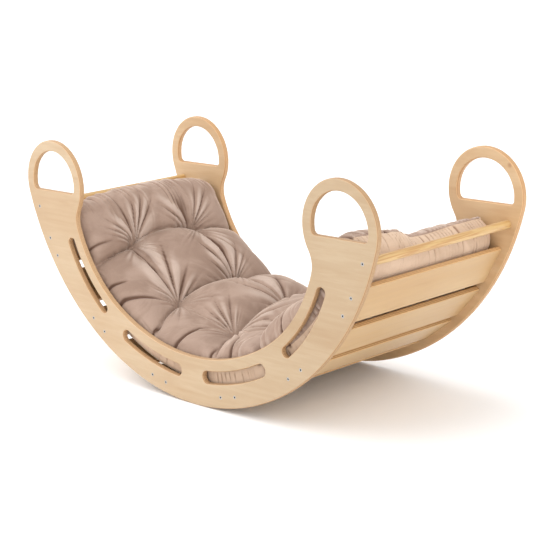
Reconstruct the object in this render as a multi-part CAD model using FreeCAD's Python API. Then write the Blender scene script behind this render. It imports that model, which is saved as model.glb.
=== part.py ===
import FreeCAD, Part
import math
import os

# A rocking cradle for children: two birch plywood side panels shaped like a crescent with a
# ring handle at each tip, eleven slats between them, a round rail across each end, and a
# tufted mattress that lies loose in the hollow. Millimetres. +X runs along the rocker,
# +Y across it and +Z up. The origin is on the floor under the middle of the rocker.

# Side panels
WIDTH = 406.0              # outer face to outer face
PANEL_T = 12.0             # plywood thickness
ROCKER_R = 502.0           # the arc that rolls on the floor
INNER_R = 407.0            # the arc that edges the hollow, about the same centre
SHOULDER_R = 275.0         # the tighter arc that carries the inner edge up towards the ring
SHOULDER_ANGLE = 30.0      # where the shoulder leaves the inner arc, from straight down
NECK_R = 50.0              # the hollow of the neck, under the ring
RING_R = 88.0
RING_ANGLE = 74.1          # the ring meets the rocker arc here, tangent to it
GRIP_R = 66.0              # the hand hole in the ring
GRIP_FLAT = 15.6           # its flat lower side lies this far under the ring's centre
GRIP_CORNER_R = 9.0
EDGE_R = 3.0               # round-over on every edge of the panels

# Slots in the side panels, two each side of the middle, measured from straight down
LOW_SLOT = {"depth": 36.0, "width": 24.0, "start": 4.0, "end": 27.0}
HIGH_SLOT = {"depth": 32.0, "width": 20.0, "start": 35.0, "end": 58.5}

# Slats and rails
FIXING_R = 480.0           # all the screws and dowels lie on this circle
SLAT_COUNT = 11
SLAT_PITCH = 11.82         # degrees
SLAT_W = 80.0
SLAT_T = 10.0
SLAT_EDGE_R = 1.5
FIXING_OFFSET = 20.0       # each slat end has two fixings, this far each side of its middle
RAIL_ANGLE = 69.8
RAIL_R = 8.0

# Fixings
SLAT_SCREW = {"head_r": 3.5, "head_h": 4.0, "shank_r": 2.0, "length": 50.0, "socket": 3.0}
RAIL_SCREW = {"head_r": 3.5, "head_h": 4.0, "shank_r": 2.5, "length": 60.0, "socket": 3.0}
SOCKET_DEPTH = 2.5
DOWEL_R = 3.0
DOWEL_L = 30.0
DOWEL_IN_PANEL = 8.0

# Mattress
PAD_OUTER_R = 470.0
PAD_INNER_R = 360.0
PAD_LEFT = -62.0           # the angles of the ends, at the middle of their round caps
PAD_RIGHT = 65.5
PAD_W = 368.0
PAD_EDGE_R = 36.0
COVER_T = 2.0
TIE_R = 1.0
TIE_ANGLES = (-50.5, -26.0, -1.5, 23.0, 47.5)
TIE_Y = 75.0

ARC_Z = ROCKER_R           # height of the centre of the rocker arc
INNER_FACE = WIDTH / 2 - PANEL_T
SLAT_MID_R = math.sqrt(FIXING_R ** 2 - FIXING_OFFSET ** 2)
RING_DISTANCE = ROCKER_R - RING_R


def vec(x, z, y=0.0):
    return FreeCAD.Vector(x, y, z)


def polar(radius, degrees):
    """A point on a circle about the rocker's centre, at an angle from straight down."""
    a = math.radians(degrees)
    return vec(radius * math.sin(a), ARC_Z - radius * math.cos(a))


def along(start, end, distance):
    return start + (end - start).normalize() * distance


def angle_about(centre, point):
    return math.atan2(point.z - centre.z, point.x - centre.x)


def arc(centre, start, end, ccw=True):
    """The arc from start to end about centre, in the XZ plane."""
    radius = (start - centre).Length
    a0 = angle_about(centre, start)
    a1 = angle_about(centre, end)
    sweep = (a1 - a0) % (2 * math.pi)
    if not ccw:
        sweep -= 2 * math.pi
    mid = a0 + sweep / 2
    middle = centre + vec(radius * math.cos(mid), radius * math.sin(mid))
    return Part.Arc(start, middle, end).toShape()


def line(start, end):
    return Part.LineSegment(start, end).toShape()


def mirrored(shape):
    return shape.mirror(FreeCAD.Vector(0, 0, 0), FreeCAD.Vector(1, 0, 0))


def prism(edges, y0, y1):
    """The solid between y0 and y1 of a closed outline in the XZ plane."""
    face = Part.Face(Part.Wire(Part.__sortEdges__(edges)))
    face.translate(FreeCAD.Vector(0, y0, 0))
    return face.extrude(FreeCAD.Vector(0, y1 - y0, 0))


def neck_centre(shoulder, ring):
    """The circle of NECK_R that is tangent inside the shoulder arc and outside the ring."""
    to_shoulder = SHOULDER_R - NECK_R
    to_ring = RING_R + NECK_R
    span = (ring - shoulder).Length
    reach = (to_shoulder ** 2 - to_ring ** 2 + span ** 2) / (2 * span)
    drop = math.sqrt(to_shoulder ** 2 - reach ** 2)
    direction = (ring - shoulder).normalize()
    return shoulder + direction * reach + vec(direction.z, -direction.x) * drop


def panel_outline():
    ring = polar(RING_DISTANCE, RING_ANGLE)
    shoulder = polar(INNER_R - SHOULDER_R, SHOULDER_ANGLE)
    neck = neck_centre(shoulder, ring)
    tip = polar(ROCKER_R, RING_ANGLE)
    ring_to_neck = along(ring, neck, RING_R)
    neck_to_shoulder = along(shoulder, neck, SHOULDER_R)
    shoulder_to_inner = polar(INNER_R, SHOULDER_ANGLE)
    half = [
        arc(ring, tip, ring_to_neck),
        arc(neck, ring_to_neck, neck_to_shoulder, ccw=False),
        arc(shoulder, neck_to_shoulder, shoulder_to_inner, ccw=False),
    ]
    rocker = Part.Arc(polar(ROCKER_R, -RING_ANGLE), polar(ROCKER_R, 0), tip).toShape()
    hollow = Part.Arc(polar(INNER_R, -SHOULDER_ANGLE), polar(INNER_R, 0), shoulder_to_inner).toShape()
    return half + [mirrored(edge) for edge in half] + [rocker, hollow]


def grip_outline():
    """A round hand hole with a flat lower side and rounded corners."""
    ring = polar(RING_DISTANCE, RING_ANGLE)
    height = GRIP_CORNER_R - GRIP_FLAT
    reach = math.sqrt((GRIP_R - GRIP_CORNER_R) ** 2 - height ** 2)
    left = ring + vec(-reach, height)
    right = ring + vec(reach, height)
    down = vec(0, -GRIP_CORNER_R)
    left_join = along(ring, left, GRIP_R)
    right_join = along(ring, right, GRIP_R)
    return [
        arc(ring, right_join, left_join),
        arc(left, left_join, left + down),
        line(left + down, right + down),
        arc(right, right + down, right_join),
    ]


def slot_outline(slot, centre, inner_radius):
    """A curved slot with round ends that keeps its depth behind the panel's inner edge."""
    mid_r = inner_radius + slot["depth"]
    half_w = slot["width"] / 2
    ends = []
    for angle, inward in ((slot["start"], 1), (slot["end"], -1)):
        target = polar(INNER_R + slot["depth"], angle)
        cap = angle_about(centre, target) + inward * half_w / mid_r
        ends.append(cap)
    points = []
    for cap in ends:
        for radius in (mid_r - half_w, mid_r, mid_r + half_w):
            points.append(centre + vec(radius * math.cos(cap), radius * math.sin(cap)))
    start_in, start_mid, start_out, end_in, end_mid, end_out = points
    return [
        arc(centre, start_in, end_in),
        arc(end_mid, end_in, end_out, ccw=False),
        arc(centre, end_out, start_out, ccw=False),
        arc(start_mid, start_out, start_in, ccw=False),
    ]


def panel_cutouts():
    """The outlines of the hand holes and slots of one panel."""
    shoulder = polar(INNER_R - SHOULDER_R, SHOULDER_ANGLE)
    right = [
        grip_outline(),
        slot_outline(LOW_SLOT, polar(0, 0), INNER_R),
        slot_outline(HIGH_SLOT, shoulder, SHOULDER_R),
    ]
    return right + [[mirrored(edge) for edge in outline] for outline in right]


def side_panel():
    """One panel, between y = 0 and PANEL_T, with every edge rounded over."""
    panel = prism(panel_outline(), 0, PANEL_T)
    for outline in panel_cutouts():
        panel = panel.cut(prism(outline, -1, PANEL_T + 1))
    flat_edges = [e for e in panel.Edges if e.BoundBox.YLength < 1e-6]
    return panel.makeFillet(EDGE_R, flat_edges)


def slat_angles():
    first = -(SLAT_COUNT - 1) / 2
    return [(first + i) * SLAT_PITCH for i in range(SLAT_COUNT)]


def is_screwed(index):
    """Every second slat is screwed; the ones between stand on blind dowels."""
    return index % 2 == 0


def tilted(shape, degrees):
    """Turns a shape from straight down to its angle about the rocker's centre."""
    shape.rotate(polar(0, 0), FreeCAD.Vector(0, 1, 0), -degrees)
    return shape


def slat(degrees):
    corner = FreeCAD.Vector(-SLAT_W / 2, -INNER_FACE, ARC_Z - SLAT_MID_R - SLAT_T / 2)
    board = Part.makeBox(SLAT_W, 2 * INNER_FACE, SLAT_T, corner)
    long_edges = [e for e in board.Edges if e.BoundBox.YLength > INNER_FACE]
    return tilted(board.makeFillet(SLAT_EDGE_R, long_edges), degrees)


def rail(degrees):
    start = polar(FIXING_R, degrees) - FreeCAD.Vector(0, INNER_FACE, 0)
    return Part.makeCylinder(RAIL_R, 2 * INNER_FACE, start, FreeCAD.Vector(0, 1, 0))


def fixing_points(degrees):
    """Where the two fixings of a slat meet the panel, in the XZ plane."""
    spread = math.degrees(math.asin(FIXING_OFFSET / FIXING_R))
    return [polar(FIXING_R, degrees - spread), polar(FIXING_R, degrees + spread)]


def screw_body(size, point, side):
    """The screw with no socket: side is -1 at the front panel and 1 at the back one."""
    start = point + FreeCAD.Vector(0, side * WIDTH / 2, 0)
    inward = FreeCAD.Vector(0, -side, 0)
    head = Part.makeCylinder(size["head_r"], size["head_h"], start, inward)
    shank = Part.makeCylinder(size["shank_r"], size["length"], start, inward)
    return head.fuse(shank).removeSplitter()


def hex_socket(size, point, side):
    corner_r = size["socket"] / math.sqrt(3)
    start = point + FreeCAD.Vector(0, side * WIDTH / 2, 0)
    corners = []
    for i in range(7):
        a = math.radians(60 * i)
        corners.append(start + vec(corner_r * math.cos(a), corner_r * math.sin(a)))
    return Part.Face(Part.makePolygon(corners)).extrude(FreeCAD.Vector(0, -side * SOCKET_DEPTH, 0))


def dowel(point, side):
    start = point + FreeCAD.Vector(0, side * (INNER_FACE + DOWEL_IN_PANEL), 0)
    pin = Part.makeCylinder(DOWEL_R, DOWEL_L, start, FreeCAD.Vector(0, -side, 0))
    ends = [e for e in pin.Edges if e.BoundBox.YLength < 1e-6]
    return pin.makeChamfer(0.5, ends)


def dowel_hole(point, side):
    start = point + FreeCAD.Vector(0, side * (INNER_FACE + DOWEL_IN_PANEL), 0)
    return Part.makeCylinder(DOWEL_R, DOWEL_L, start, FreeCAD.Vector(0, -side, 0))


def fixings(side):
    """The screws, the dowels and the holes that they need, at one panel."""
    slat_screws, rail_screws, dowels, holes = [], [], [], []
    for index, degrees in enumerate(slat_angles()):
        for point in fixing_points(degrees):
            if is_screwed(index):
                body = screw_body(SLAT_SCREW, point, side)
                slat_screws.append(body.cut(hex_socket(SLAT_SCREW, point, side)))
                holes.append(body)
            else:
                dowels.append(dowel(point, side))
                holes.append(dowel_hole(point, side))
    for degrees in (-RAIL_ANGLE, RAIL_ANGLE):
        point = polar(FIXING_R, degrees)
        body = screw_body(RAIL_SCREW, point, side)
        rail_screws.append(body.cut(hex_socket(RAIL_SCREW, point, side)))
        holes.append(body)
    return slat_screws, rail_screws, dowels, holes


def pad_solid(inset):
    """The mattress: a curved band with round ends and soft edges, inset from its outside."""
    outer_r = PAD_OUTER_R - inset
    inner_r = PAD_INNER_R + inset
    middle_r = (PAD_OUTER_R + PAD_INNER_R) / 2
    left = polar(middle_r, PAD_LEFT)
    right = polar(middle_r, PAD_RIGHT)
    under_left = polar(outer_r, PAD_LEFT)
    under_right = polar(outer_r, PAD_RIGHT)
    over_left = polar(inner_r, PAD_LEFT)
    over_right = polar(inner_r, PAD_RIGHT)
    centre = polar(0, 0)
    outline = [
        arc(centre, under_left, under_right),
        arc(right, under_right, over_right),
        arc(centre, over_right, over_left, ccw=False),
        arc(left, over_left, under_left),
    ]
    half_w = PAD_W / 2 - inset
    band = prism(outline, -half_w, half_w)
    rims = [e for e in band.Edges if e.BoundBox.YLength < 1e-6]
    return band.makeFillet(PAD_EDGE_R - inset, rims)


def tie(degrees, y):
    """The waxed thread that draws one tuft down through the mattress."""
    inner_r = PAD_INNER_R
    length = PAD_OUTER_R - PAD_INNER_R
    start = FreeCAD.Vector(0, y, ARC_Z - inner_r)
    return tilted(Part.makeCylinder(TIE_R, length, start, FreeCAD.Vector(0, 0, -1)), degrees)


def mattress():
    """The cover, the filling and the tufting threads."""
    ties = [tie(degrees, y) for degrees in TIE_ANGLES for y in (-TIE_Y, TIE_Y)]
    outside = pad_solid(0)
    inside = pad_solid(COVER_T)
    thread_run = Part.makeCompound(ties)
    cover = outside.cut(inside).cut(thread_run)
    filling = inside.cut(thread_run)
    ties = [thread.common(outside) for thread in ties]
    return cover, filling, ties


def save(name, shape):
    shape.exportStep("parts/" + name + ".step")
    print(name, len(shape.Solids), "solids", round(shape.Volume / 1000, 1), "cm3", shape.isValid())


def frame_parts():
    """Every piece of the wooden frame, by node name."""
    parts = {}
    all_holes = []
    for name, side in (("front", -1), ("back", 1)):
        slat_screws, rail_screws, dowels, holes = fixings(side)
        panel = side_panel()
        panel.translate(FreeCAD.Vector(0, INNER_FACE if side > 0 else -WIDTH / 2, 0))
        parts["side_panel_" + name] = panel.cut(Part.makeCompound(holes))
        parts["slat_screws_" + name] = Part.makeCompound(slat_screws)
        parts["rail_screws_" + name] = Part.makeCompound(rail_screws)
        parts["dowel_pins_" + name] = Part.makeCompound(dowels)
        all_holes += holes
    drilled = Part.makeCompound(all_holes)
    for index, degrees in enumerate(slat_angles()):
        parts["slat_{:02d}".format(index + 1)] = slat(degrees).cut(drilled)
    parts["end_rail_left"] = rail(-RAIL_ANGLE).cut(drilled)
    parts["end_rail_right"] = rail(RAIL_ANGLE).cut(drilled)
    return parts


def main():
    os.makedirs("parts", exist_ok=True)
    parts = frame_parts()
    cover, filling, ties = mattress()
    parts["mattress_cover"] = cover
    parts["mattress_filling"] = filling
    parts["tufting_threads"] = Part.makeCompound(ties)
    for name in sorted(parts):
        save(name, parts[name])


main()
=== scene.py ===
import math

import bpy
import numpy as np
from mathutils import Matrix, Vector


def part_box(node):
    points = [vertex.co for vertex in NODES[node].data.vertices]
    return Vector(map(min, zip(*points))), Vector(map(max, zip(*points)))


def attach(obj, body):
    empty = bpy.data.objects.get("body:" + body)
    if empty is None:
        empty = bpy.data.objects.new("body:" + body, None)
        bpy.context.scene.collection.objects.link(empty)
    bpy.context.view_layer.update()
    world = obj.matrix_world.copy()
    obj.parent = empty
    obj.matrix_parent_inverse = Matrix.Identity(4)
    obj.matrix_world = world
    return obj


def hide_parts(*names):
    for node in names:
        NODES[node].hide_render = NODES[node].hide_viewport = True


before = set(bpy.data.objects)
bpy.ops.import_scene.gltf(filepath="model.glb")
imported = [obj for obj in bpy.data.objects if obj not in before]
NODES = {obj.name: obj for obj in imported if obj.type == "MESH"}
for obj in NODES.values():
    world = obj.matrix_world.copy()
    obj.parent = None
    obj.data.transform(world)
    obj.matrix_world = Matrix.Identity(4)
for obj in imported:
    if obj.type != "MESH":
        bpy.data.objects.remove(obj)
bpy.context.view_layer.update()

# Looks of a child's rocking cradle: birch plywood, pine rails, steel screws and a tufted
# velvet mattress. Metres, in the frame of the CAD model.

SLATS = ["slat_{:02d}".format(i) for i in range(1, 12)]
SIDES = ("front", "back")

# Camera
AZIMUTH = math.radians(46.0)       # from straight in front of the near panel, towards +X
ELEVATION = math.radians(13.49)
ROLL = math.radians(-2.37)
DISTANCE = 3.114
TARGET = Vector((0.0355, 0.0, 0.2142))
LENS = 103.44                      # millimetres
SENSOR = 36.0

# Studio
AMBIENT = 0.84
LIGHTS = (((-0.62, -0.30, 0.72), 1.9),     # the way to each light, and how much it adds
          ((0.85, -0.42, 0.32), 1.7))
LIGHT_EDGE = (0.62, 0.97)          # cosines from its middle where a light starts and is full
FLOOR_HALF = 40.0

# Wood and screws
PANEL_LAYERS = 9
SLAT_LAYERS = 7
KNOT_IN = 0.030                    # how far the knot lies inside the panel's box
KNOT_R = 0.0035
SOCKET_SHADE_DEPTHS = (0.0006, 0.0001)     # depths under the panel's face where the painted shade of the socket is full, and where it ends

# Mattress: radii are from the centre of the rocker, and angles from straight down. It has six
# puffs along it, with a row of tufts between each two.
PAD_LEFT = -67.6                   # degrees
PAD_RIGHT = 70.4
PAD_HALF_W = 0.187
SEAM_R = 0.4285
UNDER_R = 0.4715
NEAR_CROWN_R = (0.371, 0.385, 0.388, 0.378, 0.356, 0.366)     # crowns of the puffs, by the near
FAR_CROWN_R = (0.364, 0.353, 0.341, 0.334, 0.343, 0.389)      # panel and by the far one
NEAR_BLEND = (-0.055, 0.018)       # y where the one becomes the other, and how softly
DOME_POWER = 2.8
TUFT_Y = 0.076
TUFT_ANGLES = (-50.5, -26.0, -1.5, 23.0, 47.5)                # degrees
TUFT_DENT = (0.06, 0.022)          # how much a crown dips in line with the tufts, and its width
TUFT_RISE = 0.0110                 # heights of the top above the seam: at a tuft,
ARCH_RISE = 0.028                  # midway between the two tufts of a row,
EDGE_RISE = (0.018, 0.034)         # and where a row's valley nears the near and the far panel
VALLEY_ARCH = 0.040                # radians that a valley strays uphill between its tufts,
FAR_SAG = 0.050                    # and downhill at the far panel
NEAR_SAG = ((-50.0, 0.055), (-26.0, 0.145), (0.0, 0.150), (10.0, 0.0))    # (degrees, radians)
OVER_POWER = 5.0                   # how square its cross-section is above the seam,
UNDER_POWER = ((-48.0, 2.5), (-32.0, 4.3), (-10.0, 6.0), (8.0, 9.0))      # and below, by degrees
UNDER_PULL = (0.014, 0.024)        # how far the tufts draw the underside up, and how widely
PAD_END_ROUND = 0.050
END_TAPER = (0.16, 0.08)           # how much narrower the left and the right end are
END_BOW = math.radians(1.6)        # the middle of the left end reaches this much further,
END_SKEW = math.radians(1.9)       # the near side of the right end reaches this much further,
END_DIP = math.radians(2.4)        # and its middle this much less
END_DIP_PLACE = -0.06              # where that is, as a share of the half width,
END_DIP_REACH = (0.20, 0.65)       # and how wide it is towards the near and the far panel
END_FADE = 0.07                    # how far from an end its shape is felt
BED_R = 0.4727                     # nothing of the mattress is lower than the slats
BED_SOFTNESS = 0.0022
WALL_Y = 0.1896                    # or past the panels
WALL_SOFTNESS = 0.0016

# Cloth simulation of the top
PAD_STEP = 0.0040                  # size of a simulated face
STRETCH = (1.0, 1.02)              # how much larger it is cut than it lies, along and across
CLOTH = {"quality": 5, "mass": 0.15, "air": 1.0, "tension": 15.0, "compression": 15.0,
         "shear": 5.0, "bending": 0.05, "pressure": 5.0, "frames": 24}
CLOTH_CAP = 0.030                  # no point moves further

# Folds
TOP_FANS = ((19, 0.125, 0.0066), (31, 0.070, 0.0032))     # number, reach, height, round a tuft
UNDER_FAN = (17, 0.060, 0.0015)
SIDE_GATHERS = (0.017, 0.036, 0.0044)                     # pitch, reach and height
END_GATHERS = (0.013, 0.090, 0.0056)
CRUMPLE_GATHERS = (0.0240, 0.070, 0.0040)
CRUMPLE_ANGLES = (24, 20)          # degrees: middle and half length, on the near side
UNDER_SIDE_GATHERS = (0.0125, 0.042, 0.0062)
UNDER_END_GATHERS = (0.0100, 0.085, 0.0066)
UNDER_SINK = 0.0005                # the whole underside lies this much further in
RELIEF_FULL = 0.0042               # fold height at which the colour has changed fully: painted shade in a valley, painted highlight on a ridge
DARK_FOLDS = (                     # (degrees, y) along each, its depth and width
    (((-27.5, -0.100), (-30.0, -0.140), (-33.5, -0.185)), 0.0075, 0.0042),
    (((-52.5, -0.125), (-52.5, -0.185)), 0.0045, 0.0032),
    (((-6.5, -0.095), (-9.0, -0.125), (-9.5, -0.185)), 0.0070, 0.0042),
    (((-38.0, -0.150), (-39.5, -0.185)), 0.0065, 0.0032),
    (((-20.0, -0.152), (-19.0, -0.185)), 0.0065, 0.0032),
    (((3.0, -0.150), (4.5, -0.185)), 0.0065, 0.0032),
    (((31.0, -0.110), (27.0, -0.140), (24.0, -0.186)), 0.0150, 0.0060),
    (((9.0, -0.120), (13.0, -0.186)), 0.0060, 0.0034),
    (((37.0, -0.125), (36.0, -0.186)), 0.0060, 0.0034),
    (((60.0, -0.064), (66.0, -0.046), (71.5, -0.010)), 0.0090, 0.0042),
    (((60.0, -0.125), (66.0, -0.112), (71.5, -0.090)), 0.0080, 0.0040))

# Stitches
THREAD_R = 0.0009
PLY_R = 0.62                       # radius of a ply, as a share of the thread's,
PLY_OFFSET = 0.45                  # and how far it lies from the thread's middle
PLY_TURNS = 24                     # twists in one stitch's loop
STITCH_HALF = 0.0035               # half the length of a stitch
STITCH_PROUD = 0.0006
STITCH_POINTS = 160
STITCH_POWER = 2.0 / 12.0          # a small power makes the loop square


def rocker_centre():
    """Height of the centre of the circle that the slats lie on."""
    low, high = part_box("slat_06")
    bottom = (low.z + high.z) / 2
    low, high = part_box("slat_11")
    x = (low.x + high.x) / 2
    rise = (low.z + high.z) / 2 - bottom
    return bottom + (x * x + rise * rise) / (2 * rise)


CENTRE_Z = rocker_centre()


# ---------------------------------------------------------------- shader helpers

class Shader:
    """A material's node tree, with short calls to add and join nodes."""

    def __init__(self, name):
        self.material = bpy.data.materials.new(name)
        self.material.use_nodes = True
        self.tree = self.material.node_tree
        self.bsdf = self.tree.nodes["Principled BSDF"]

    def put(self, target, value):
        if isinstance(value, bpy.types.NodeSocket):
            self.tree.links.new(value, target)
        else:
            target.default_value = value

    def node(self, kind, inputs=None, **settings):
        node = self.tree.nodes.new(kind)
        for key, value in settings.items():
            setattr(node, key, value)
        for key, value in (inputs or {}).items():
            self.put(node.inputs[key], value)
        return node

    def math(self, operation, a, b=0.0, c=0.0):
        return self.node("ShaderNodeMath", {0: a, 1: b, 2: c}, operation=operation).outputs[0]

    def dot(self, vector, axis):
        node = self.node("ShaderNodeVectorMath", {0: vector, 1: axis}, operation="DOT_PRODUCT")
        return node.outputs["Value"]

    def distance(self, a, b):
        node = self.node("ShaderNodeVectorMath", {0: a, 1: b}, operation="DISTANCE")
        return node.outputs["Value"]

    def scaled(self, vector, scale, offset=(0, 0, 0)):
        inputs = {0: vector, 1: scale, 2: offset}
        return self.node("ShaderNodeVectorMath", inputs, operation="MULTIPLY_ADD").outputs[0]

    def noise(self, vector, scale, detail=4.0, roughness=0.5, distortion=0.0):
        inputs = {"Vector": vector, "Scale": scale, "Detail": detail}
        inputs.update({"Roughness": roughness, "Distortion": distortion})
        return self.node("ShaderNodeTexNoise", inputs).outputs["Fac"]

    def smooth(self, value, low, high, to_low=0.0, to_high=1.0):
        inputs = {"Value": value, "From Min": low, "From Max": high, "To Min": to_low, "To Max": to_high}
        node = self.node("ShaderNodeMapRange", inputs, interpolation_type="SMOOTHSTEP")
        return node.outputs["Result"]

    def mix(self, factor, a, b, mode="MIX"):
        node = self.node("ShaderNodeMix", data_type="RGBA", blend_type=mode)
        self.put(node.inputs[0], factor)
        self.put(node.inputs[6], a)
        self.put(node.inputs[7], b)
        return node.outputs[2]

    def bump(self, height, distance, strength):
        inputs = {"Height": height, "Distance": distance, "Strength": strength}
        return self.node("ShaderNodeBump", inputs).outputs["Normal"]

    def finish(self, **inputs):
        for key, value in inputs.items():
            self.put(self.bsdf.inputs[key.replace("_", " ")], value)
        return self.material


def rgb(red, green, blue):
    """An sRGB colour, 0 to 255, as a linear one."""
    out = []
    for value in (red, green, blue):
        c = value / 255
        out.append(c / 12.92 if c <= 0.04045 else ((c + 0.055) / 1.055) ** 2.4)
    return (*out, 1.0)


def assign(name, material):
    data = NODES[name].data
    if data.materials:
        for index in range(len(data.materials)):
            data.materials[index] = material
    else:
        data.materials.append(material)


# ---------------------------------------------------------------- wood

BIRCH_LIGHT = rgb(194, 170, 139)
BIRCH_MID = rgb(185, 156, 122)
BIRCH_DARK = rgb(168, 134, 95)
PLY_LIGHT = rgb(202, 168, 128)
PLY_DARK = rgb(166, 126, 85)
PLAIN = (1.0, 1.0, 1.0, 1.0)
# painted shade for the front panel: its colour is multiplied by this towards +X, as if that end were
# less lit
FRONT_FAR_SHADE = (0.85, 0.84, 0.82, 1.0)
SLAT_TINT = (1.05, 0.98, 0.81, 1.0)
BACK_TINT = (1.06, 0.99, 0.89, 1.0)
PORE = rgb(186, 140, 97)
KNOT = rgb(140, 92, 55)
PINE_LIGHT = rgb(200, 166, 112)
PINE_DARK = rgb(180, 136, 82)


def plywood(name, across, face, thickness, layers, along, seed, knots=(), tint=PLAIN, far_shade=PLAIN):
    """Birch plywood: across is the unit vector through its layers, face the place of its
    lower face along it, and along the direction of the grain of its faces. Towards +X its
    colour is multiplied by a given factor: painted shade, as if that end were less lit."""
    s = Shader(name)
    coord = s.node("ShaderNodeTexCoord")
    place = coord.outputs["Object"]
    depth = s.math("DIVIDE", s.math("SUBTRACT", s.dot(place, across), face), thickness)
    facing = s.math("ABSOLUTE", s.dot(coord.outputs["Normal"], across))
    edge = s.smooth(facing, 0.80, 0.975, 1.0, 0.0)

    run = s.dot(place, along)
    side = s.dot(place, tuple(Vector(across).cross(Vector(along))))
    grain_inputs = {"X": s.math("MULTIPLY", run, 0.09), "Y": side, "Z": seed}
    grain_place = s.node("ShaderNodeCombineXYZ", grain_inputs)
    broad = s.noise(grain_place.outputs[0], 9.0, 3.0, 0.5, 0.6)
    fine = s.noise(grain_place.outputs[0], 120.0, 5.0, 0.62, 0.25)
    figure = s.noise(grain_place.outputs[0], 34.0, 4.0, 0.55, 1.4)
    patch = s.noise(place, 4.5, 2.0)
    blotch = s.math("ADD", s.math("MULTIPLY", broad, 0.6), s.math("MULTIPLY", patch, 0.4))
    tone = s.smooth(blotch, 0.36, 0.64)
    colour = s.mix(tone, BIRCH_MID, BIRCH_LIGHT)
    streak = s.smooth(figure, 0.54, 0.72, 0.0, 0.26)
    colour = s.mix(streak, colour, BIRCH_DARK)
    colour = s.mix(s.smooth(fine, 0.40, 0.66, 0.24, 0.0), colour, BIRCH_DARK)
    fleck_inputs = {"X": s.math("MULTIPLY", run, 0.16), "Y": side, "Z": seed + 3.0}
    fleck_place = s.node("ShaderNodeCombineXYZ", fleck_inputs)
    fleck = s.noise(fleck_place.outputs[0], 420.0, 1.0, 0.5)
    colour = s.mix(s.smooth(fleck, 0.69, 0.76, 0.0, 0.16), colour, PORE)
    for knot_place, radius in knots:
        away = s.distance(place, knot_place)
        wobble = s.math("MULTIPLY_ADD", s.noise(place, 60.0, 2.0), radius, away)
        colour = s.mix(s.smooth(wobble, radius * 0.9, radius * 2.4, 0.55, 0.0), colour, KNOT)

    wander = s.math("MULTIPLY", s.noise(place, 14.0, 1.0), 0.05)
    layer = s.math("FRACT", s.math("MULTIPLY", s.math("ADD", depth, wander), layers / 2))
    dark_layer = s.math("MULTIPLY", s.smooth(layer, 0.44, 0.52), s.smooth(layer, 0.94, 1.0, 1.0, 0.0))
    end_noise = s.noise(place, 160.0, 3.0, 0.6)
    ply = s.mix(dark_layer, PLY_LIGHT, PLY_DARK)
    ply = s.mix(s.smooth(end_noise, 0.35, 0.65, 0.25, 0.0), ply, PLY_DARK)
    colour = s.mix(edge, colour, ply)

    colour = s.mix(1.0, colour, tint, "MULTIPLY")
    # painted shade: the colour darkens towards +X, as if less lit there
    along_x = s.node("ShaderNodeSeparateXYZ", {0: place}).outputs["X"]
    colour = s.mix(s.smooth(along_x, -0.30, 0.28), colour, s.mix(1.0, colour, far_shade, "MULTIPLY"))
    pores = s.math("MULTIPLY", fine, 0.6)
    grooves = s.math("MULTIPLY", dark_layer, s.math("MULTIPLY", edge, -0.8))
    height = s.math("ADD", pores, grooves)
    rough = s.smooth(fine, 0.3, 0.7, 0.42, 0.56)
    return s.finish(Base_Color=colour, Roughness=rough, Normal=s.bump(height, 0.00025, 0.35),
                    Coat_Weight=0.12, Coat_Roughness=0.32)


def pine(name, seed):
    """Varnished pine dowel with its grain along Y."""
    s = Shader(name)
    place = s.node("ShaderNodeTexCoord").outputs["Object"]
    stretched = s.scaled(place, (1.0, 0.045, 1.0), (seed, 0.0, 0.0))
    rings = s.noise(stretched, 210.0, 2.0, 0.5, 0.8)
    fine = s.noise(stretched, 900.0, 3.0, 0.6)
    colour = s.mix(s.smooth(rings, 0.42, 0.62), PINE_LIGHT, PINE_DARK)
    colour = s.mix(s.smooth(fine, 0.45, 0.7, 0.0, 0.25), colour, PINE_DARK)
    return s.finish(Base_Color=colour, Roughness=0.38, Normal=s.bump(fine, 0.0002, 0.3),
                    Coat_Weight=0.25, Coat_Roughness=0.25)


def screw_steel():
    """Zinc-plated screws, with painted shade down in the socket."""
    s = Shader("screw_steel")
    place = s.node("ShaderNodeTexCoord").outputs["Object"]
    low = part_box("side_panel_front")[0]
    across = s.math("ABSOLUTE", s.node("ShaderNodeSeparateXYZ", {0: place}).outputs["Y"])
    # painted shade in the socket: full below the first depth, gone above the second
    dark, clean = SOCKET_SHADE_DEPTHS
    socket_shade = s.smooth(across, -low.y - dark, -low.y - clean, 1.0, 0.0)
    scratch = s.noise(s.scaled(place, (1.0, 1.0, 6.0)), 1400.0, 3.0, 0.7)
    colour = s.mix(s.smooth(scratch, 0.35, 0.7), rgb(150, 148, 145), rgb(205, 203, 200))
    # painted shade: everything deep in the socket is dark
    colour = s.mix(socket_shade, colour, rgb(16, 15, 15))
    return s.finish(Base_Color=colour, Metallic=1.0, Roughness=s.smooth(scratch, 0.3, 0.7, 0.22, 0.42))


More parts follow.
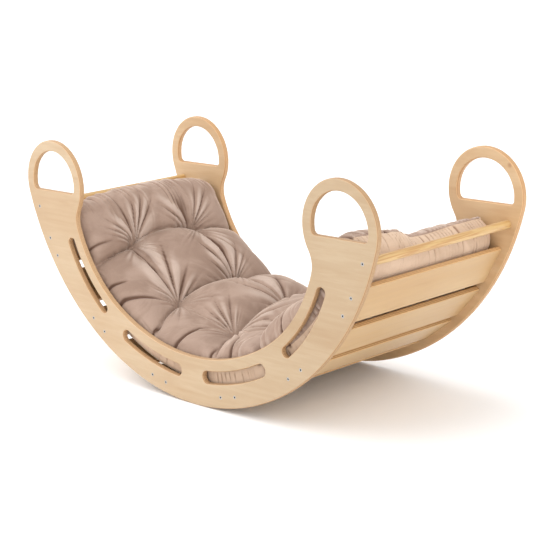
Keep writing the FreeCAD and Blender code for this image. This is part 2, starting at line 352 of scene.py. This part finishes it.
def dress_frame():
    front_low, front_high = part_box("side_panel_front")
    back_low, back_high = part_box("side_panel_back")
    thickness = front_high.y - front_low.y
    knot = ((back_high.x - KNOT_IN, back_low.y, back_high.z - KNOT_IN), KNOT_R)
    across, grain = (0, 1, 0), (1.0, 0.0, 0.0)
    # the front panel gets painted shade towards its +X end
    assign("side_panel_front", plywood("plywood_front", across, front_low.y, thickness, PANEL_LAYERS,
                                       grain, 0.37, far_shade=FRONT_FAR_SHADE))
    assign("side_panel_back", plywood("plywood_back", across, back_low.y, thickness, PANEL_LAYERS,
                                      grain, 5.21, [knot], BACK_TINT))
    slat_low, slat_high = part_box("slat_06")
    slat_t = slat_high.z - slat_low.z
    for index, name in enumerate(SLATS):
        low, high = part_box(name)
        middle = (low + high) / 2
        outward = Vector((middle.x, 0.0, middle.z - CENTRE_Z)).normalized()
        face = middle.dot(outward) - slat_t / 2
        seed = 1.7 * index + 0.9
        assign(name, plywood("plywood_" + name, tuple(outward), face, slat_t, SLAT_LAYERS, (0, 1, 0),
                             seed, tint=SLAT_TINT))
    assign("end_rail_left", pine("pine_left", 2.0))
    assign("end_rail_right", pine("pine_right", 7.0))
    steel = screw_steel()
    beech = pine("beech_dowel", 11.0)
    for side in SIDES:
        assign("slat_screws_" + side, steel)
        assign("rail_screws_" + side, steel)
        assign("dowel_pins_" + side, beech)


# ---------------------------------------------------------------- mattress

# In both tone sets the valley tone is painted shade in the valleys of the folds, and also the dark of
# random pile flecks; the ridge tone is a painted highlight on their ridges.
VELVET = {"dark": rgb(150, 126, 111), "light": rgb(168, 144, 129), "valley": rgb(96, 70, 56),
          "ridge_highlight": rgb(215, 196, 183)}
BACKING = {"dark": rgb(199, 172, 148), "light": rgb(213, 187, 163), "valley": rgb(146, 114, 92),
           "ridge_highlight": rgb(228, 207, 188)}


def velvet(name, tones):
    """Short-pile velvet: soft sheen, brushed patches, and a fine pile that breaks the light. The
    folds get painted shade in their valleys and a painted highlight on their ridges."""
    s = Shader(name)
    place = s.node("ShaderNodeTexCoord").outputs["Object"]
    brushed = s.noise(place, 11.0, 4.0, 0.6, 1.2)
    pile = s.noise(place, 1500.0, 2.0, 0.6)
    weave = s.noise(s.scaled(place, (1.0, 0.35, 1.0)), 620.0, 2.0, 0.5)
    relief = s.node("ShaderNodeAttribute", attribute_name="relief").outputs["Fac"]
    colour = s.mix(s.smooth(brushed, 0.35, 0.65), tones["dark"], tones["light"])
    # painted shade: the valleys of the folds darken with their depth in the relief attribute
    colour = s.mix(s.smooth(relief, -0.9, -0.05, 0.92, 0.0), colour, tones["valley"])
    # painted highlight: the ridges of the folds lighten
    colour = s.mix(s.smooth(relief, 0.15, 0.75, 0.0, 0.45), colour, tones["ridge_highlight"])
    # random dark flecks of pile
    colour = s.mix(s.smooth(pile, 0.3, 0.7, 0.16, 0.0), colour, tones["valley"])
    height = s.math("ADD", s.math("MULTIPLY", pile, 0.5), s.math("MULTIPLY", weave, 0.5))
    return s.finish(Base_Color=colour, Roughness=0.72, Normal=s.bump(height, 0.0005, 0.30),
                    Sheen_Weight=1.0, Sheen_Roughness=0.28, Sheen_Tint=rgb(246, 226, 210),
                    Specular_IOR_Level=0.2)


def profile(length, rise, count):
    """Places along a low mound with round ends, evenly spaced over its surface, 0 to length."""
    x = length * (1 - np.cos(np.linspace(0.0, math.pi, 4001))) / 2
    steps = np.hypot(np.diff(x), np.diff(rise(x)))
    run = np.concatenate([[0.0], np.cumsum(steps)])
    return np.interp(np.linspace(0.0, run[-1], count + 1), run, x), run[-1]


def superellipse(share, power):
    return (1.0 - np.minimum(np.abs(share), 1.0) ** power) ** (1.0 / power)


def round_end(distance, length):
    """How full the mattress is at a distance from its end: 0 at the end, 1 past length."""
    share = 1.0 - np.clip(distance / length, 0.0, 1.0)
    return np.sqrt(1.0 - share ** 2)


class Sheets:
    """The vertex numbers of two grids, over and under, that share their outline."""

    def __init__(self, rows, columns):
        self.over = np.arange((rows + 1) * (columns + 1)).reshape(rows + 1, columns + 1)
        inner = (rows - 1) * (columns - 1)
        self.under = self.over.copy()
        self.under[1:-1, 1:-1] = self.over.size + np.arange(inner).reshape(rows - 1, columns - 1)
        self.count = self.over.size + inner

    def faces(self):
        return np.concatenate([grid_faces(self.over), grid_faces(self.under)[:, ::-1]])


def grid_faces(grid):
    a, b = grid[:-1, :-1], grid[1:, :-1]
    c, d = grid[1:, 1:], grid[:-1, 1:]
    return np.stack([corner.ravel() for corner in (a, b, c, d)], axis=1)


class Pad:
    """The mattress as two sheets on one grid, over and under, that share the seam round them.
    A row runs across the mattress, and a column along it."""

    def __init__(self):
        length = math.radians(PAD_RIGHT - PAD_LEFT) * SEAM_R
        height = SEAM_R - min(FAR_CROWN_R)

        def along(x):
            return height * np.minimum(round_end(x, PAD_END_ROUND), round_end(length - x, PAD_END_ROUND))

        def across(x):
            return height * superellipse(x / PAD_HALF_W - 1.0, OVER_POWER)

        rows = round(profile(length, along, 10)[1] / PAD_STEP)
        columns = round(profile(2 * PAD_HALF_W, across, 10)[1] / PAD_STEP)
        run = profile(length, along, rows)[0]
        self.angle = math.radians(PAD_LEFT) + run / SEAM_R
        self.across = profile(2 * PAD_HALF_W, across, columns)[0] / PAD_HALF_W - 1.0
        self.full = along(run) / height
        taper = np.where(self.angle < 0, *END_TAPER)
        self.width = 1.0 - taper * (1.0 - self.full) ** 1.3
        self.y = self.across[None, :] * PAD_HALF_W * self.width[:, None]

    def bowed(self):
        """The angle of every point: the left end is bowed, and the right end has two lobes, the
        one at the near panel longer."""
        across = self.across[None, :]
        left = np.exp(-((self.angle - self.angle[0]) * SEAM_R / END_FADE) ** 1.5)[:, None]
        right = np.exp(-((self.angle[-1] - self.angle) * SEAM_R / END_FADE) ** 1.5)[:, None]
        bow = -END_BOW * (1.0 - np.abs(across) ** 2.5)
        reach = np.where(across < END_DIP_PLACE, *END_DIP_REACH)
        lobes = -END_SKEW * across - END_DIP * np.exp(-((across - END_DIP_PLACE) / reach) ** 2)
        return self.angle[:, None] + bow * left + lobes * right

    def pillow(self):
        """Height of the plain, untufted top above the seam."""
        rise = SEAM_R - sum(NEAR_CROWN_R + FAR_CROWN_R) / (2 * len(NEAR_CROWN_R))
        return rise * superellipse(self.across, OVER_POWER)[None, :] * self.full[:, None]

    def valley_shift(self, degrees):
        """How far, in radians, the valley of a row of tufts strays from it: the puffs hang
        downhill at the panels and bulge uphill between the tufts."""
        y = self.across * PAD_HALF_W
        outside = np.clip((np.abs(y) - TUFT_Y) / (PAD_HALF_W - TUFT_Y), 0.0, 1.0)
        arch = VALLEY_ARCH * np.sqrt(1.0 - np.minimum(np.abs(y) / TUFT_Y, 1.0) ** 2)
        far_sag = FAR_SAG * outside ** 1.3 * (y > 0)
        near_sag = np.interp(degrees, *zip(*NEAR_SAG)) * outside ** 1.2 * (y < 0)
        return np.tanh(degrees / 15.0) * (arch - far_sag) + near_sag

    def tufted(self):
        """Height of the top above the seam, drawn in along each row of tufts."""
        y = self.across * PAD_HALF_W
        blend_y, softness = NEAR_BLEND
        near = 1.0 / (1.0 + np.exp((y - blend_y) / softness))
        away = np.abs(y)
        edge = superellipse(self.across, OVER_POWER)
        between = np.sqrt(1.0 - np.minimum(away / TUFT_Y, 1.0) ** 2) * (ARCH_RISE - TUFT_RISE)
        beyond = np.clip((away - TUFT_Y) / (0.8 * (PAD_HALF_W - TUFT_Y)), 0.0, 1.0)
        edge_rise = np.where(y < 0, *EDGE_RISE)
        outside = np.sqrt(1.0 - (1.0 - beyond) ** 2) * (edge_rise - TUFT_RISE)
        valley = (TUFT_RISE + np.where(away < TUFT_Y, between, outside)) * edge ** 0.8
        dip, dip_width = TUFT_DENT
        dent = 1.0 - dip * np.exp(-((away - TUFT_Y) / dip_width) ** 2)
        valleys = [math.radians(angle) + self.valley_shift(angle) for angle in TUFT_ANGLES]
        start = np.full_like(y, math.radians(PAD_LEFT))
        end = np.full_like(y, math.radians(PAD_RIGHT))
        borders = [start, *valleys, end]
        rise = np.zeros((self.angle.size, y.size))
        for puff, (near_r, far_r) in enumerate(zip(NEAR_CROWN_R, FAR_CROWN_R)):
            low, high = borders[puff][None, :], borders[puff + 1][None, :]
            share = 2.0 * (self.angle[:, None] - low) / (high - low) - 1.0
            if puff == 0:
                share = np.maximum(share, 0.0)
            if puff == len(FAR_CROWN_R) - 1:
                share = np.minimum(share, 0.0)
            dome = np.sqrt(1.0 - np.minimum(np.abs(share), 1.0) ** DOME_POWER)
            crown = (SEAM_R - far_r + (far_r - near_r) * near) * edge * dent
            rise = np.maximum(rise, valley[None, :] + (crown - valley)[None, :] * dome)
        return rise * self.full[:, None]

    def belly(self):
        """Depth of the underside below the seam, drawn up a little at the tufts."""
        power = np.interp(np.degrees(self.angle), *zip(*UNDER_POWER))
        section = superellipse(self.across[None, :], power[:, None])
        out = (UNDER_R - SEAM_R) * section * self.full[:, None]
        pull, pull_reach = UNDER_PULL
        for angle in np.radians(TUFT_ANGLES):
            for y in (-TUFT_Y, TUFT_Y):
                away = np.hypot((self.angle[:, None] - angle) * UNDER_R, self.y - y)
                out = out - pull * np.exp(-(away / pull_reach) ** 1.3)
        return out

    def tufts(self):
        """The grid place (row, column) of every tuft on the top."""
        out = []
        for degrees in TUFT_ANGLES:
            row = int(np.argmin(np.abs(self.angle - math.radians(degrees))))
            for y in (-TUFT_Y, TUFT_Y):
                out.append((row, int(np.argmin(np.abs(self.across * PAD_HALF_W - y)))))
        return out


def from_polar(angle, radius, y):
    """Points at an angle and radius about the centre of the rocker."""
    return np.stack([radius * np.sin(angle), y, CENTRE_Z - radius * np.cos(angle)], axis=-1)


def to_polar(points):
    """The angle, radius and y of points."""
    x = points[..., 0]
    down = CENTRE_Z - points[..., 2]
    return np.arctan2(x, down), np.hypot(x, down), points[..., 1]


def blow_up(pad, start, rest):
    """Simulates the top as cloth cut to the rest shape: blown up, and held at seam and tufts."""
    numbers = np.arange(start.shape[0] * start.shape[1]).reshape(start.shape[:2])
    obj = mesh_object("cloth", start.reshape(-1, 3), grid_faces(numbers), None)
    obj.shape_key_add(name="start")
    key = obj.shape_key_add(name="rest")
    key.data.foreach_set("co", rest.ravel())
    held = np.zeros(numbers.shape, bool)
    held[[0, -1], :] = True
    held[:, [0, -1]] = True
    for row, column in pad.tufts():
        held[row, column] = True
    group = obj.vertex_groups.new(name="held")
    group.add([int(i) for i in numbers[held]], 1.0, "REPLACE")
    modifier = obj.modifiers.new("cloth", "CLOTH")
    cloth = modifier.settings
    cloth.quality = CLOTH["quality"]
    cloth.mass = CLOTH["mass"]
    cloth.air_damping = CLOTH["air"]
    cloth.tension_stiffness = CLOTH["tension"]
    cloth.compression_stiffness = CLOTH["compression"]
    cloth.shear_stiffness = CLOTH["shear"]
    cloth.bending_stiffness = CLOTH["bending"]
    cloth.use_pressure = True
    cloth.uniform_pressure_force = CLOTH["pressure"]
    cloth.vertex_group_mass = "held"
    cloth.rest_shape_key = key
    cloth.effector_weights.gravity = 0.0
    modifier.collision_settings.use_collision = False
    scene = bpy.context.scene
    for step in range(1, CLOTH["frames"] + 1):
        scene.frame_set(step)
    shaped = obj.evaluated_get(bpy.context.evaluated_depsgraph_get())
    points = np.zeros(start.size)
    shaped.data.vertices.foreach_get("co", points)
    scene.frame_set(1)
    data = obj.data
    bpy.data.objects.remove(obj)
    bpy.data.meshes.remove(data)
    return points.reshape(start.shape)


def capped(start, end, most):
    """Limits how far each point has moved."""
    move = end - start
    far = np.linalg.norm(move, axis=-1, keepdims=True)
    scale = np.tanh(far / most) * most / np.maximum(far, 1e-9)
    return start + move * scale


def soft_limit(value, limit, softness):
    """value, bent smoothly so that it never passes limit."""
    return limit - softness * np.logaddexp(0.0, (limit - value) / softness)


def settle(points):
    """Rests the mattress on the slats and between the panels."""
    angle, radius, y = to_polar(points)
    radius = soft_limit(radius, BED_R, BED_SOFTNESS)
    y = np.sign(y) * soft_limit(np.abs(y), WALL_Y, WALL_SOFTNESS)
    return from_polar(angle, radius, y)


def mesh_object(name, points, faces, material):
    mesh = bpy.data.meshes.new(name)
    mesh.from_pydata(points.tolist(), [], faces.tolist())
    mesh.validate()
    if material is not None:
        mesh.materials.append(material)
    mesh.shade_smooth()
    obj = bpy.data.objects.new(name, mesh)
    bpy.context.scene.collection.objects.link(obj)
    return obj


def doubled(grid):
    """The grid with a new row and column between each two, on a smooth curve through the old ones."""
    for _ in range(2):
        ends = np.concatenate([2 * grid[:1] - grid[1:2], grid, 2 * grid[-1:] - grid[-2:-1]])
        middles = (9 * (ends[1:-2] + ends[2:-1]) - ends[:-3] - ends[3:]) / 16
        out = np.zeros((2 * grid.shape[0] - 1, *grid.shape[1:]))
        out[::2] = grid
        out[1::2] = middles
        grid = out.swapaxes(0, 1)
    return grid


def normals(points):
    """Unit normals of a grid of points, pointing up where the rows run in y."""
    cross = np.cross(np.gradient(points, axis=0), np.gradient(points, axis=1))
    return cross / np.maximum(np.linalg.norm(cross, axis=-1, keepdims=True), 1e-12)


def wobble(rng, turn, waves):
    """A random smooth function of an angle, about -1 to 1."""
    out = np.zeros_like(turn)
    for wave in range(1, waves + 1):
        out += rng.uniform(0.4, 1.0) * np.sin(wave * turn + rng.uniform(0, 2 * math.pi))
    return out / math.sqrt(waves)


def crease(phase):
    """Rounded folds with a sharp valley at every whole number, about -1 to 1."""
    return 2.0 * np.abs(np.sin(math.pi * phase)) ** 0.6 - 1.25


def fan(rng, along, across, count, reach, height, uphill=0.0):
    """Folds that run out from a tuft, mostly up and down the mattress, and stronger uphill: -1
    or 1, the sign of the uphill way along it, or 0 for neither."""
    away = np.hypot(along, across) + 1e-6
    turn = np.arctan2(across, along)
    twist = wobble(rng, turn, 3) * 2.2
    phase = count * turn / (2 * math.pi) + 0.9 * wobble(rng, turn, 5) + twist * away
    slope_share = 0.58 + 0.42 * np.cos(2 * turn)
    length = reach * slope_share * np.clip(0.85 + 0.45 * wobble(rng, turn, 5), 0.35, 1.5)
    fade = 1.0 / (1.0 + np.exp(np.clip((away - length) / (0.16 * reach), -40, 40)))
    strength = np.clip(0.75 + 0.6 * wobble(rng, turn, 7), 0.1, 1.4)
    rise = 1.0 - np.exp(-(away / 0.016) ** 1.5)
    strength = strength * (0.72 + 0.38 * uphill * np.cos(turn))
    return height * crease(phase) * rise * fade * strength


def gathers(rng, run, edge, pitch, reach, height):
    """Pleats that run in from the seam."""
    turn = run * 2 * math.pi / 0.35
    phase = run / pitch + 0.8 * wobble(rng, turn, 7)
    length = reach * np.clip(0.8 + 0.5 * wobble(rng, turn * 1.7, 8), 0.25, 1.8)
    strength = np.clip(0.7 + 0.6 * wobble(rng, turn * 1.3, 9), 0.1, 1.5)
    rise = 1.0 - np.exp(-(edge / 0.005) ** 1.5)
    return height * crease(phase) * rise * np.exp(-(edge / length) ** 1.6) * strength


def dark_fold(run, y, line, depth, width):
    """One fold along a line of (degrees, y) points, that starts from nothing and deepens."""
    points = [(math.radians(degrees) * SEAM_R, place_y) for degrees, place_y in line]
    out = np.zeros_like(y)
    pieces = len(points) - 1
    for piece, ((run_a, y_a), (run_b, y_b)) in enumerate(zip(points, points[1:])):
        long = (run_b - run_a) ** 2 + (y_b - y_a) ** 2
        share = np.clip(((run - run_a) * (run_b - run_a) + (y - y_a) * (y_b - y_a)) / long, 0.0, 1.0)
        away = np.hypot(run - run_a - share * (run_b - run_a), y - y_a - share * (y_b - y_a))
        strength = ((piece + share) / pieces) ** 0.7
        out = np.minimum(out, -depth * strength * np.exp(-(away / width) ** 1.5))
    return out


def distances(y):
    """Distance of each point of the doubled grid from the side seams and from the end seams."""
    side = np.minimum(np.arange(y.shape[1]), np.arange(y.shape[1])[::-1]) * PAD_STEP / 2
    end = np.minimum(np.arange(y.shape[0]), np.arange(y.shape[0])[::-1]) * PAD_STEP / 2
    return side[None, :] + np.zeros_like(y), end[:, None] + np.zeros_like(y)


def top_folds(run, y, side, end):
    """Height of the folds of the top above its simulated surface."""
    rng = np.random.default_rng(11)
    out = np.zeros_like(y)
    for degrees in TUFT_ANGLES:
        for tuft_y in (-TUFT_Y, TUFT_Y):
            along = run - math.radians(degrees) * SEAM_R
            uphill = math.tanh(degrees / 12.0)
            for sizes in TOP_FANS:
                out += fan(rng, along, y - tuft_y, *sizes, uphill)
    out += gathers(rng, run, side, *SIDE_GATHERS)
    out += gathers(rng, y, end, *END_GATHERS)
    middle, half = (math.radians(degrees) for degrees in CRUMPLE_ANGLES)
    crumpled = (y < 0) * np.exp(-((run / SEAM_R - middle) / half) ** 4)
    out += crumpled * gathers(rng, run, side, *CRUMPLE_GATHERS)
    for line, depth, width in DARK_FOLDS:
        out += dark_fold(run, y, line, depth, width)
    return out


def under_folds(run, y, side, end):
    """Height of the folds of the underside, which only cut in."""
    rng = np.random.default_rng(23)
    out = np.zeros_like(y)
    for degrees in TUFT_ANGLES:
        for tuft_y in (-TUFT_Y, TUFT_Y):
            out += fan(rng, run - math.radians(degrees) * SEAM_R, y - tuft_y, *UNDER_FAN)
    out += gathers(rng, run, side, *UNDER_SIDE_GATHERS)
    out += gathers(rng, y, end, *UNDER_END_GATHERS)
    return np.minimum(out, 0.0) - UNDER_SINK


def mattress():
    """The mattress as one piece. Returns the (top, bottom) places of its tufts."""
    pad = Pad()
    angle = pad.bowed()
    start = from_polar(angle, SEAM_R - pad.tufted(), pad.y)
    top = start
    rest = np.stack([angle * SEAM_R * STRETCH[0], pad.y * STRETCH[1], pad.pillow()], axis=-1)
    blown = blow_up(pad, start, rest)
    top = capped(start, blown, CLOTH_CAP)
    bottom = from_polar(angle, SEAM_R + pad.belly(), pad.y)
    run, y = doubled(angle * SEAM_R), doubled(pad.y)
    side, end = distances(y)
    top, bottom = doubled(top), doubled(bottom)
    top_relief = top_folds(run, y, side, end)
    bottom_relief = under_folds(run, y, side, end)
    top = top + normals(top) * top_relief[..., None]
    bottom = bottom - normals(bottom) * bottom_relief[..., None]
    grids = Sheets(top.shape[0] - 1, top.shape[1] - 1)
    points = np.zeros((grids.count, 3))
    points[grids.under] = bottom
    points[grids.over] = top
    obj = mesh_object("mattress", settle(points), grids.faces(), velvet("velvet", VELVET))
    obj.data.materials.append(velvet("backing", BACKING))
    face_count = len(obj.data.polygons)
    under = np.arange(face_count) >= face_count // 2
    obj.data.polygons.foreach_set("material_index", under.astype(np.int32))
    # fold heights, which the velvet turns into painted shade in the valleys and a painted highlight on
    # the ridges
    relief = np.zeros(grids.count)
    relief[grids.under] = bottom_relief
    relief[grids.over] = top_relief
    layer = obj.data.attributes.new("relief", "FLOAT", "POINT")
    layer.data.foreach_set("value", relief / RELIEF_FULL)
    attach(obj, "mattress")
    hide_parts("mattress_cover", "mattress_filling")
    return [(points[grids.over[2 * row, 2 * column]], points[grids.under[2 * row, 2 * column]])
            for row, column in pad.tufts()]


# ---------------------------------------------------------------- tufting threads

def strand(centre, radius, sides):
    """A closed tube along a closed line of points."""
    ahead = np.roll(centre, -1, axis=0) - np.roll(centre, 1, axis=0)
    ahead /= np.linalg.norm(ahead, axis=1, keepdims=True)
    middle = centre.mean(axis=0)
    flat = np.cross(ahead, centre - middle)
    flat /= np.linalg.norm(flat, axis=1, keepdims=True)
    out = np.cross(flat, ahead)
    turn = np.linspace(0.0, 2 * math.pi, sides, endpoint=False)[None, :, None]
    spokes = np.cos(turn) * out[:, None, :] + np.sin(turn) * flat[:, None, :]
    points = centre[:, None, :] + radius * spokes
    rows = np.arange(centre.shape[0] * sides).reshape(centre.shape[0], sides)
    after, beside = np.roll(rows, -1, axis=0), np.roll(rows, -1, axis=1)
    faces = np.stack([rows, after, np.roll(after, -1, axis=1), beside], axis=-1).reshape(-1, 4)
    return points.reshape(-1, 3), faces


def stitch(top, bottom):
    """A loop of two-ply thread through the mattress: a short stitch on the top and one below."""
    up = (top - bottom) / np.linalg.norm(top - bottom)
    half = np.linalg.norm(top - bottom) / 2 + STITCH_PROUD
    side = np.array([0.0, 1.0, 0.0])
    turn = np.linspace(0.0, 2 * math.pi, STITCH_POINTS, endpoint=False)
    right = np.sign(np.cos(turn)) * np.abs(np.cos(turn)) ** STITCH_POWER * STITCH_HALF
    rise = np.sign(np.sin(turn)) * np.abs(np.sin(turn)) ** STITCH_POWER * half
    line = (top + bottom) / 2 + right[:, None] * side + rise[:, None] * up
    forward = np.cross(up, side)
    plies = []
    for start in (0.0, math.pi):
        twist = start + turn * PLY_TURNS
        offset = np.cos(twist)[:, None] * forward + np.sin(twist)[:, None] * (side + up) / math.sqrt(2)
        plies.append(strand(line + THREAD_R * PLY_OFFSET * offset, THREAD_R * PLY_R, 6))
    return plies


def thread_material():
    s = Shader("thread")
    place = s.node("ShaderNodeTexCoord").outputs["Object"]
    fibre = s.noise(place, 2600.0, 2.0, 0.6)
    colour = s.mix(fibre, rgb(150, 118, 98), rgb(206, 178, 158))
    return s.finish(Base_Color=colour, Roughness=0.5, Normal=s.bump(fibre, 0.0002, 0.4),
                    Sheen_Weight=0.3)


def threads(ends):
    """All the stitches as one piece, from the (top, bottom) places of the tufts."""
    points, faces, count = [], [], 0
    for top, bottom in ends:
        for ply_points, ply_faces in stitch(top, bottom):
            points.append(ply_points)
            faces.append(ply_faces + count)
            count += len(ply_points)
    material = thread_material()
    obj = mesh_object("tufting_stitches", np.concatenate(points), np.concatenate(faces), material)
    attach(obj, "mattress")
    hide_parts("tufting_threads")


# ---------------------------------------------------------------- studio

def studio():
    """A white studio: an even glow all round, with a soft light high at the left and a weaker one
    low at the right."""
    world = bpy.data.worlds.new("studio")
    bpy.context.scene.world = world
    world.use_nodes = True
    tree = world.node_tree
    coord = tree.nodes.new("ShaderNodeTexCoord")
    total = AMBIENT
    for source, strength in LIGHTS:
        toward = tree.nodes.new("ShaderNodeVectorMath")
        toward.operation = "DOT_PRODUCT"
        tree.links.new(coord.outputs["Generated"], toward.inputs[0])
        toward.inputs[1].default_value = Vector(source).normalized()
        glow = tree.nodes.new("ShaderNodeMapRange")
        glow.interpolation_type = "SMOOTHSTEP"
        tree.links.new(toward.outputs["Value"], glow.inputs["Value"])
        glow.inputs["From Min"].default_value, glow.inputs["From Max"].default_value = LIGHT_EDGE
        glow.inputs["To Max"].default_value = strength
        added = tree.nodes.new("ShaderNodeMath")
        if isinstance(total, float):
            added.inputs[0].default_value = total
        else:
            tree.links.new(total, added.inputs[0])
        tree.links.new(glow.outputs["Result"], added.inputs[1])
        total = added.outputs[0]
    tree.links.new(total, tree.nodes["Background"].inputs["Strength"])
    tree.nodes["Background"].inputs["Color"].default_value = (1.0, 1.0, 1.0, 1.0)

    s = Shader("floor")
    coord = s.node("ShaderNodeTexCoord").outputs["Object"]
    grain = s.noise(coord, 3.0, 2.0)
    colour = s.mix(grain, (0.95, 0.95, 0.95, 1.0), (0.97, 0.97, 0.97, 1.0))
    material = s.finish(Base_Color=colour, Roughness=0.9, Specular_IOR_Level=0.1)
    half = FLOOR_HALF
    corners = np.array([(-half, -half, 0), (half, -half, 0), (half, half, 0), (-half, half, 0)], float)
    mesh_object("floor", corners, np.array([[0, 1, 2, 3]]), material)
    bpy.context.scene.view_settings.view_transform = "Standard"


def camera():
    back = Vector((math.sin(AZIMUTH) * math.cos(ELEVATION), -math.cos(AZIMUTH) * math.cos(ELEVATION),
                   math.sin(ELEVATION)))
    right = Vector((0, 0, 1)).cross(back).normalized()
    up = back.cross(right)
    turned_right = right * math.cos(ROLL) + up * math.sin(ROLL)
    turned_up = up * math.cos(ROLL) - right * math.sin(ROLL)
    data = bpy.data.cameras.new("camera")
    data.lens = LENS
    data.sensor_width = SENSOR
    data.clip_end = 200.0
    obj = bpy.data.objects.new("camera", data)
    rotation = Matrix((turned_right, turned_up, back)).transposed().to_4x4()
    obj.matrix_world = Matrix.Translation(TARGET + back * DISTANCE) @ rotation
    bpy.context.scene.collection.objects.link(obj)
    bpy.context.scene.camera = obj


camera()
studio()
dress_frame()
threads(mattress())
